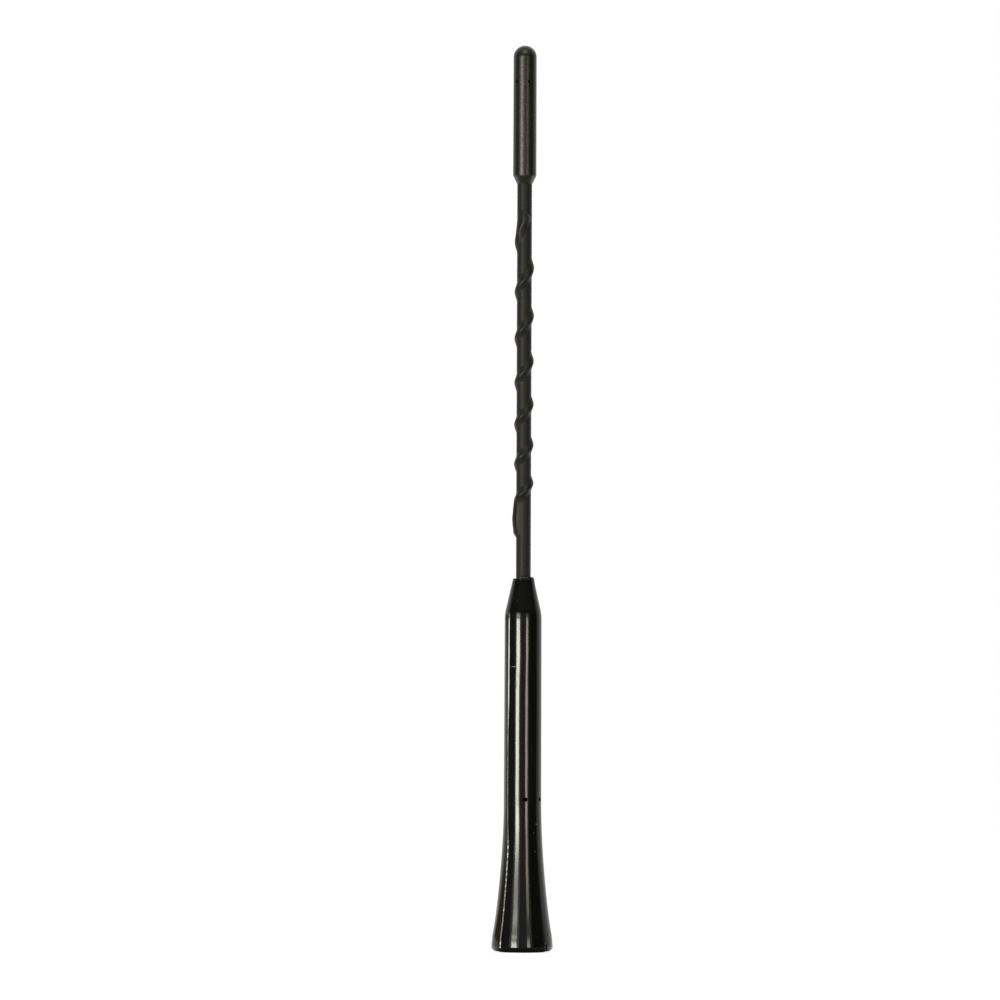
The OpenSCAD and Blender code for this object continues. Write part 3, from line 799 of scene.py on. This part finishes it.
def cord_gaps(route, a, z, rod_r, reach):
    """How each angle in a, at height z, lies to the cord.

    Gives the distance over the rod's surface, the cord's radius there, and the sine and cosine between
    the cord's way down and the way to the point: below 0 is above the cord, or before its start.
    """
    gaps = np.full(len(a), reach)
    radii = np.full(len(a), route[0][2])
    sides, aheads = np.zeros(len(a)), np.zeros(len(a))
    near = [i for i in range(len(route) - 1) if abs(route[i][1] - z) < reach]
    scale = math.radians(1) * rod_r
    for i in near:
        start, end = route[i], route[i + 1]
        fx = ((start[0] - a + 180) % 360 - 180) * scale
        fz = start[1] - z
        rx, rz = (end[0] - start[0]) * scale, end[1] - start[1]
        u = np.clip(-(fx * rx + fz * rz) / (rx * rx + rz * rz), 0, 1)
        px, pz = -(fx + rx * u), -(fz + rz * u)
        gap = np.hypot(px, pz)
        closer = gap < gaps
        gaps = np.where(closer, gap, gaps)
        radii = np.where(closer, start[2] + (end[2] - start[2]) * u, radii)
        product = np.maximum(gap, 1e-7) * math.hypot(rx, rz)
        sides = np.where(closer, (rx * pz - rz * px) / product, sides)
        aheads = np.where(closer, (rx * px + rz * pz) / product, aheads)
    return gaps, radii, sides, aheads


def skirt_width(s, z, sides, aheads):
    """Reach of the skirt: wide above the upper tail and in front of the lower one, short past their ends."""
    upper = smoothstep(s.spiral_top - 2 * MM, s.spiral_top + 2 * MM, z)
    lower = smoothstep(s.spiral_bottom + 1 * MM, s.spiral_bottom - 3 * MM, z)
    wide = upper * s.upper_spread * np.clip(-sides, 0, 1) + lower * s.lower_spread * np.clip(sides, 0, 1)
    short = 0.45 * np.clip(-aheads, 0, 1) + 0.1 * np.clip(aheads, 0, 1)
    return s.skirt * (1 + wide - short)


def tent(gap, lift, radius, width):
    """Height of a tube drawn tight over a round cord and down to the rod at each side."""
    slope = np.arctan2(lift, width) + np.arcsin(radius / np.hypot(width, lift))
    touch = radius * np.sin(slope)
    over = lift + np.sqrt(np.maximum(radius ** 2 - gap ** 2, 0))
    side = np.maximum(width - gap, 0) * np.tan(slope)
    return np.where(gap <= touch, over, side)


class MAST_OT_sleeve(bpy.types.Operator):
    """Build the shrink sleeve drawn over the wire's turns and the spiral cord"""
    bl_idname = "mast.sleeve"
    bl_label = "Shrink sleeve"

    def execute(self, context):
        s, insert = settings("mast_sleeve"), settings("mast_insert")
        rod_r = s.rod_d / 2
        winding_r = rod_r - s.wall
        route = cord_route(s)
        count = 72
        a = np.arange(count) * 360 / count
        neck_top = insert_high.z
        blend_top = neck_top + 4 * MM
        neck_r = insert.neck_d / 2 + s.wall + FIT
        show_low, show_high = base_high.z - 2 * MM, cap_low.z + 2 * MM
        fine = 0.22 * MM
        heights = [sleeve_low.z, neck_top, blend_top]
        steps = round((show_high - show_low) / fine)
        heights += [show_low + (show_high - show_low) * i / steps for i in range(steps + 1)]
        heights.append(sleeve_high.z)
        verts = []
        for z in heights:
            if z < blend_top:
                r = np.full(count, neck_r if z <= neck_top else rod_r)
            else:
                gap, cord_r, sides, aheads = cord_gaps(route, a, z, rod_r, 2 * s.skirt)
                width = skirt_width(s, z, sides, aheads)
                ridge = tent(gap, winding_r + cord_r - rod_r, cord_r + s.wall, width)
                rings = np.cos(2 * np.pi * (z / s.wire_pitch - a / 360))
                rings = (1 + rings) * (0.9 + 0.9 * noise.noise(Vector((0.0, 5.0, z / (1.1 * MM)))))
                lifted = np.clip(ridge / (0.25 * MM), 0, 1)
                shown = smoothstep(show_low, show_low + 1 * MM, z)
                shown *= smoothstep(show_high, show_high - 1 * MM, z)
                round_places = [(*from_front(b, 3.0, 0.0)[:2], z / (1.6 * MM)) for b in a]
                slack = np.array([noise.noise(Vector(place)) for place in round_places])
                r = rod_r + ridge + shown * (1 - lifted) * s.ring_height * rings
                r = r + shown * lifted * slack * 0.03 * MM
            verts += [from_front(b, q, z) for b, q in zip(a, r)]
        outer_rows = len(heights)
        bore_r = winding_r + FIT / 5
        inner = [(bore_r, blend_top), (neck_r - s.wall, neck_top + 0.3 * MM),
                 (neck_r - s.wall, sleeve_low.z)]
        inner_heights = [sleeve_high.z, *np.arange(cord_high.z + 4 * MM, cord_low.z - 4 * MM, -0.8 * MM)]
        for z in inner_heights:
            gap, cord_r, _, aheads = cord_gaps(route, a, z, rod_r, 2 * s.skirt)
            width = skirt_width(s, z, 0 * aheads, aheads) - s.wall + FIT
            ridge = tent(gap, winding_r + cord_r - bore_r, cord_r + FIT, width)
            verts += [from_front(b, bore_r + q, z) for b, q in zip(a, ridge)]
        for r, z in inner:
            verts += [from_front(b, r, z) for b in a]
        rows = outer_rows + len(inner_heights) + len(inner)
        piece = new_piece("sleeve_skin", verts, bands(rows, count, True), 50)
        finish_piece(piece, sleeve_plastic(), "sleeve_plastic", "shrink_sleeve")
        return {"FINISHED"}


class MAST_OT_cap(bpy.types.Operator):
    """Build the domed tip cap"""
    bl_idname = "mast.cap"
    bl_label = "Tip cap"

    def execute(self, context):
        s, sleeve = settings("mast_cap"), settings("mast_sleeve")
        low, top = cap_low.z, cap_high.z
        centre = (s.bottom_d / 2 - s.roll_radius, low + s.cone_length)
        lean = roll_angle((s.lip_d / 2, low), centre, s.roll_radius)
        dome_r = s.top_d / 2
        bore_r, core_r = sleeve.rod_d / 2 + FIT, (rod_high.x - rod_low.x) / 2 + FIT
        line = [(bore_r, low), (s.lip_d / 2, low)]
        line += arc(centre, s.roll_radius, -lean, 0, 10)
        dome = arc((0.0, top - dome_r), dome_r, 0, 90, 40)
        outer = fill_between(line + dome[:1], 0.6 * MM) + dome[1:-1]
        bore = [(bore_r, low), (bore_r, sleeve_high.z + FIT), (core_r, sleeve_high.z + FIT),
                (core_r, rod_high.z + FIT)]
        mould = math.degrees(s.mould_angle)
        partings = (turn(mould - 90), turn(mould + 90))
        columns = columns_with(96, partings)
        outline = [(0.0, rod_high.z + FIT), *bore[:0:-1], *outer, (0.0, top)]
        inside = len(bore) - 1

        def shift(row, r, z, a):
            if row < inside + 1:
                return 0.0, 0.0, 0.0
            ridges = [parting_ridge(a, p, 0.9, 0.0) for p in partings]
            return s.flash * sum(up for up, _ in ridges), 0.0, sum(twist for _, twist in ridges)

        piece = spin("cap_moulding", outline, columns, False, shift)
        holes = pin_holes(mould, top - s.pin_drop, s.pin_d, core_r, s.bottom_d)
        drill(piece, holes, s.pin_d / 2)
        smooth(piece, 35)
        finish_piece(piece, cap_plastic(), "cap_plastic", "tip_cap")
        return {"FINISHED"}


class MAST_OT_insert(bpy.types.Operator):
    """Build the brass insert with its knurl and its cut thread"""
    bl_idname = "mast.insert"
    bl_label = "Threaded insert"

    def execute(self, context):
        s = settings("mast_insert")
        edge = 0.3 * MM
        face = insert_low.z
        flange_top, knurl_bottom, knurl_top, collar_bottom, collar_top = insert_levels(s)
        collar_r = s.knurl_d / 2 - edge
        core_r, crest_r = s.thread_core_d / 2, s.thread_d / 2
        flange_r, groove_r = s.flange_d / 2, s.groove_d / 2
        chamfer = 0.4 * MM
        thread_top = face + s.thread_depth
        drill_tip = thread_top + core_r / math.tan(math.radians(59))
        thread_rows = 180
        thread_low = face + chamfer * 0.25
        bore = [(core_r, thread_top - (thread_top - thread_low) * i / thread_rows)
                for i in range(thread_rows + 1)]
        knurl = [(s.knurl_d / 2, knurl_bottom), (s.knurl_d / 2, knurl_top)]
        socket_r = (rod_high.x - rod_low.x) / 2 + FIT
        outline = [(0.0, drill_tip)] + bore + [
            (core_r + chamfer, face), (flange_r - edge, face), (flange_r, face + edge), (flange_r, flange_top),
            (groove_r, flange_top), (groove_r, knurl_bottom), *knurl, (groove_r, knurl_top),
            (groove_r, collar_bottom), (collar_r, collar_bottom),
            (collar_r, collar_top - edge), (collar_r - edge, collar_top), (s.neck_d / 2, collar_top),
            (s.neck_d / 2, insert_high.z), (socket_r, insert_high.z), (socket_r, rod_low.z), (0.0, rod_low.z)]
        ridges = 24
        columns = [i * 360 / (ridges * 4) - 180 for i in range(ridges * 4)]
        knurl_rows = {i for i, p in enumerate(outline[1:-1]) if p in knurl}

        def shift(row, r, z, a):
            if row <= thread_rows:
                phase = (z / s.thread_pitch - a / 360) % 1.0
                cut = max(0.0, 1 - abs(phase - 0.5) / 0.42)
                ends = smoothstep(thread_top, thread_top - s.thread_pitch, z)
                flare = max(0.0, face + chamfer - z)
                return max(ends * cut * (crest_r - core_r), flare), 0.0, 0.0
            if row in knurl_rows:
                phase = abs(((a * ridges / 360) % 1.0) - 0.5) * 2
                return -s.knurl_depth * (1 - phase), 0.0, 0.0
            return 0.0, 0.0, 0.0

        piece = spin("insert_turned", outline, columns, False, shift)
        brass = plain_finish("insert_turned_brass", s.colour, 0.2, 0.34, metallic=1.0, waviness=700.0,
                             shade=0.82, grain=6000.0, height=0.002 * MM)
        finish_piece(piece, brass, "insert_brass", "threaded_insert")
        return {"FINISHED"}


class MAST_OT_inner(bpy.types.Operator):
    """Finish the pieces that are closed in: rod, wire, solder and cord"""
    bl_idname = "mast.inner"
    bl_label = "Inner pieces"

    def execute(self, context):
        finishes = {
            "core_rod": plain_finish("rod_glass_fibre", (0.62, 0.58, 0.42), 0.3, 0.45),
            "aerial_wire": plain_finish("wire_enamelled", (0.45, 0.17, 0.06), 0.18, 0.3, 0.9),
            "solder_joint": plain_finish("solder_tin", (0.52, 0.53, 0.54), 0.25, 0.4, 1.0),
            "spiral_cord": plain_finish("cord_black", (0.02, 0.02, 0.018), 0.4, 0.55),
        }
        for node, material in finishes.items():
            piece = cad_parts[node]
            piece.data.materials.clear()
            piece.data.materials.append(material)
        return {"FINISHED"}


STUDIO_R = 1.2


def panel(name, place, aim, size, radiance, colour=(1.0, 1.0, 1.0)):
    """A soft panel of a width and a height, turned to a point and unseen by the camera."""
    data = bpy.data.lights.new(name, "AREA")
    data.shape = "RECTANGLE"
    data.size, data.size_y = size
    data.energy = radiance * math.pi * size[0] * size[1]
    data.color = colour
    light = bpy.data.objects.new(name, data)
    light.location = place
    light.rotation_euler = (Vector(aim) - Vector(place)).to_track_quat("-Z", "Y").to_euler()
    light.visible_camera = False
    bpy.context.scene.collection.objects.link(light)


def lamp(name, start, end, low, high, radiance, colour):
    """An upright panel round the mast, between two azimuths in degrees from the front towards +X."""
    middle = (low + high) / 2
    width = 2 * STUDIO_R * math.tan(math.radians(end - start) / 2)
    panel(name, from_front((start + end) / 2, STUDIO_R, middle), (0.0, 0.0, middle), (width, high - low),
          radiance, colour)


def plate(name, corners, material):
    """A flat sheet of the studio, which isn't part of the object."""
    mesh = bpy.data.meshes.new(name)
    mesh.from_pydata(corners, [], [tuple(range(len(corners)))])
    mesh.materials.append(material)
    sheet = bpy.data.objects.new(name, mesh)
    bpy.context.scene.collection.objects.link(sheet)
    return sheet


def axes(tree, output):
    """X, Y and Z of a texture coordinate."""
    place = tree.nodes.new("ShaderNodeTexCoord")
    split = tree.nodes.new("ShaderNodeSeparateXYZ")
    tree.links.new(place.outputs[output], split.inputs[0])
    return split


def rise(tree, value, low, high, top):
    """A smooth rise from 0 to top while the value goes from low to high."""
    node = tree.nodes.new("ShaderNodeMapRange")
    node.interpolation_type = "SMOOTHSTEP"
    node.inputs["From Min"].default_value = low
    node.inputs["From Max"].default_value = high
    node.inputs["To Max"].default_value = top
    tree.links.new(value, node.inputs["Value"])
    return node.outputs["Result"]


def pale_material(name, colour, camera_glow, glossy_glow):
    """Pale matt paint that the camera, and what is glossy, see as white; it keeps a shadow."""
    material = bpy.data.materials.new(name)
    material.use_nodes = True
    tree = material.node_tree
    tree.nodes.clear()
    split = axes(tree, "Object")
    matt = tree.nodes.new("ShaderNodeBsdfDiffuse")
    matt.inputs["Color"].default_value = (*colour, 1.0)
    path = tree.nodes.new("ShaderNodeLightPath")
    glow = tree.nodes.new("ShaderNodeEmission")
    # Painted reflection with a painted shadow: glossy rays see the floor glow only beside and behind the foot,
    # and none in front of it
    beside = math_node(tree, "MULTIPLY", math_node(tree, "ABSOLUTE", split.outputs["X"]), 1.2)
    beside = math_node(tree, "MINIMUM", beside, 0.012)
    behind = rise(tree, math_node(tree, "ADD", beside, split.outputs["Y"]), 0.003, 0.014, glossy_glow)
    seen = math_node(tree, "ADD", math_node(tree, "MULTIPLY", path.outputs["Is Camera Ray"], camera_glow),
                     math_node(tree, "MULTIPLY", path.outputs["Is Glossy Ray"], behind))
    tree.links.new(seen, glow.inputs["Strength"])
    both = tree.nodes.new("ShaderNodeAddShader")
    tree.links.new(matt.outputs[0], both.inputs[0])
    tree.links.new(glow.outputs[0], both.inputs[1])
    out = tree.nodes.new("ShaderNodeOutputMaterial")
    tree.links.new(both.outputs[0], out.inputs["Surface"])
    return material


def studio_world(front, side, behind, above):
    """A dim surround in front that brightens to the sides, behind and above; the camera sees it as white."""
    world = bpy.data.worlds.new("studio")
    world.use_nodes = True
    tree = world.node_tree
    tree.nodes.clear()
    split = axes(tree, "Generated")
    level = math_node(tree, "ADD", rise(tree, split.outputs["Y"], -0.08, 0.33, side - front), front)
    level = math_node(tree, "ADD", level, rise(tree, split.outputs["Y"], 0.45, 0.75, behind - side))
    level = math_node(tree, "ADD", level, rise(tree, split.outputs["Z"], 0.3, 0.5, above))
    path = tree.nodes.new("ShaderNodeLightPath")
    soft = tree.nodes.new("ShaderNodeBackground")
    soft.inputs["Color"].default_value = (1.0, 1.0, 0.96, 1.0)
    tree.links.new(level, soft.inputs["Strength"])
    white = tree.nodes.new("ShaderNodeBackground")
    white.inputs["Color"].default_value = (1.0, 1.0, 1.0, 1.0)
    pick = tree.nodes.new("ShaderNodeMixShader")
    tree.links.new(path.outputs["Is Camera Ray"], pick.inputs[0])
    tree.links.new(soft.outputs[0], pick.inputs[1])
    tree.links.new(white.outputs[0], pick.inputs[2])
    out = tree.nodes.new("ShaderNodeOutputWorld")
    tree.links.new(pick.outputs[0], out.inputs["Surface"])
    bpy.context.scene.world = world


# Azimuth where each key panel ends, its lower and upper height, and its radiance
KEY_STACK = ((-20, 0.0, 0.105, 20), (-21.5, 0.105, 0.155, 13), (-22, 0.155, 0.185, 7),
             (-22, 0.185, 0.24, 4.4), (-21, 0.24, 0.335, 6.8), (-21, 0.335, 0.45, 3.4))
# Heights and radiance of the second panels
SECOND_STACK = ((0.0, 0.11, 8), (0.11, 0.2, 5.2), (0.2, 0.27, 2.9), (0.27, 0.335, 1.4), (0.335, 0.45, 0.8))
# Azimuths, heights and radiance of the dim panels beside and between them
DIM_PANELS = ((-80, -50, 0.0, 0.45, 0.08), (-50, -40.5, 0.0, 0.45, 0.6), (-20, -13, 0.0, 0.105, 1.8),
              (-22, -13, 0.105, 0.45, 0.9), (-13, 19, 0.0, 0.45, 0.22), (30, 38, 0.0, 0.45, 0.45))
KEY_START, SECOND_START, SECOND_END = -40.5, 19, 30
SIDE_START, SIDE_END, SIDE_LOW, SIDE_HIGH = -98, -135, 0.086, 0.21
SENSOR = 36


class MAST_OT_stage(bpy.types.Operator):
    """Set the floor, the light and the camera"""
    bl_idname = "mast.stage"
    bl_label = "Stage"

    def execute(self, context):
        s = settings("mast_stage")
        scene = context.scene
        scene.view_settings.view_transform = "Standard"
        reach = 1.05
        plate("floor", [(-reach, -reach, 0), (reach, -reach, 0), (reach, reach, 0), (-reach, reach, 0)],
              pale_material("floor_pale", s.floor_colour, 0.84, 1.0))
        studio_world(0.05, 0.62, 0.87, 0.16)

        cream, taupe = (1.0, 1.0, 0.89), (1.0, 0.9, 0.7)
        for end, low, high, radiance in KEY_STACK:
            lamp("key", KEY_START, end, low, high, radiance, cream)
        for low, high, radiance in SECOND_STACK:
            lamp("second", SECOND_START, SECOND_END, low, high, radiance, taupe)
        for start, end, low, high, radiance in DIM_PANELS:
            lamp("dim", start, end, low, high, radiance, cream)
        panel("ceiling", (0.0, -0.8, 1.6), (0.0, -0.8, 0.0), (1.3, 1.3), 0.5)
        panel("top", (-0.06, -0.7, 1.2), (0.0, 0.0, cap_high.z), (0.4, 0.4), 3.5)
        corners = [from_front(a, STUDIO_R, z) for a, z in ((SIDE_START, SIDE_LOW), (SIDE_END, SIDE_LOW),
                                                           (SIDE_END, SIDE_HIGH), (SIDE_START, SIDE_HIGH))]
        side = plate("dark_side", corners, new_material("side_brown", (0.44, 0.33, 0.14), 0.9)[0])
        side.visible_camera = False

        pixels = 1000
        focal = s.lens / SENSOR * pixels
        camera_data = bpy.data.cameras.new("camera")
        camera_data.lens = s.lens
        camera_data.sensor_width = SENSOR
        camera = bpy.data.objects.new("camera", camera_data)
        middle = pixels / 2
        height = (s.seat_row - middle) * s.pixel
        across = (middle - s.axis_column) * s.pixel
        camera.location = (across, -focal * s.pixel, height)
        camera.rotation_euler = (math.radians(90), -s.lean, 0)
        scene.collection.objects.link(camera)
        scene.camera = camera
        return {"FINISHED"}


class MAST_PT_panel(bpy.types.Panel):
    """The mast aerial's pieces and settings"""
    bl_idname = "MAST_PT_panel"
    bl_label = "Mast aerial"
    bl_space_type = "VIEW_3D"
    bl_region_type = "UI"
    bl_category = "Mast"

    def draw(self, context):
        for operator in OPERATORS:
            self.layout.operator(operator.bl_idname)
        for group, name in GROUPS:
            box = self.layout.box()
            box.label(text=group.__doc__)
            for key in group.__annotations__:
                box.prop(settings(name), key)


GROUPS = (
    (MastBaseSettings, "mast_base"),
    (MastSleeveSettings, "mast_sleeve"),
    (MastCapSettings, "mast_cap"),
    (MastInsertSettings, "mast_insert"),
    (MastStageSettings, "mast_stage"),
)
OPERATORS = (MAST_OT_base, MAST_OT_sleeve, MAST_OT_cap, MAST_OT_insert, MAST_OT_inner, MAST_OT_stage)


def register():
    """Registers the settings, the operators and the panel."""
    for group, name in GROUPS:
        bpy.utils.register_class(group)
        setattr(bpy.types.Scene, name, bpy.props.PointerProperty(type=group))
    for operator in OPERATORS:
        bpy.utils.register_class(operator)
    bpy.utils.register_class(MAST_PT_panel)


def unregister():
    """Takes the panel, the operators and the settings away again."""
    bpy.utils.unregister_class(MAST_PT_panel)
    for operator in reversed(OPERATORS):
        bpy.utils.unregister_class(operator)
    for group, name in reversed(GROUPS):
        delattr(bpy.types.Scene, name)
        bpy.utils.unregister_class(group)


def main():
    """Builds every piece and the stage, and writes the two boxes."""
    register()
    bpy.ops.mast.base()
    bpy.ops.mast.sleeve()
    bpy.ops.mast.cap()
    bpy.ops.mast.insert()
    bpy.ops.mast.inner()
    bpy.ops.mast.stage()


if __name__ == "__main__":
    main()
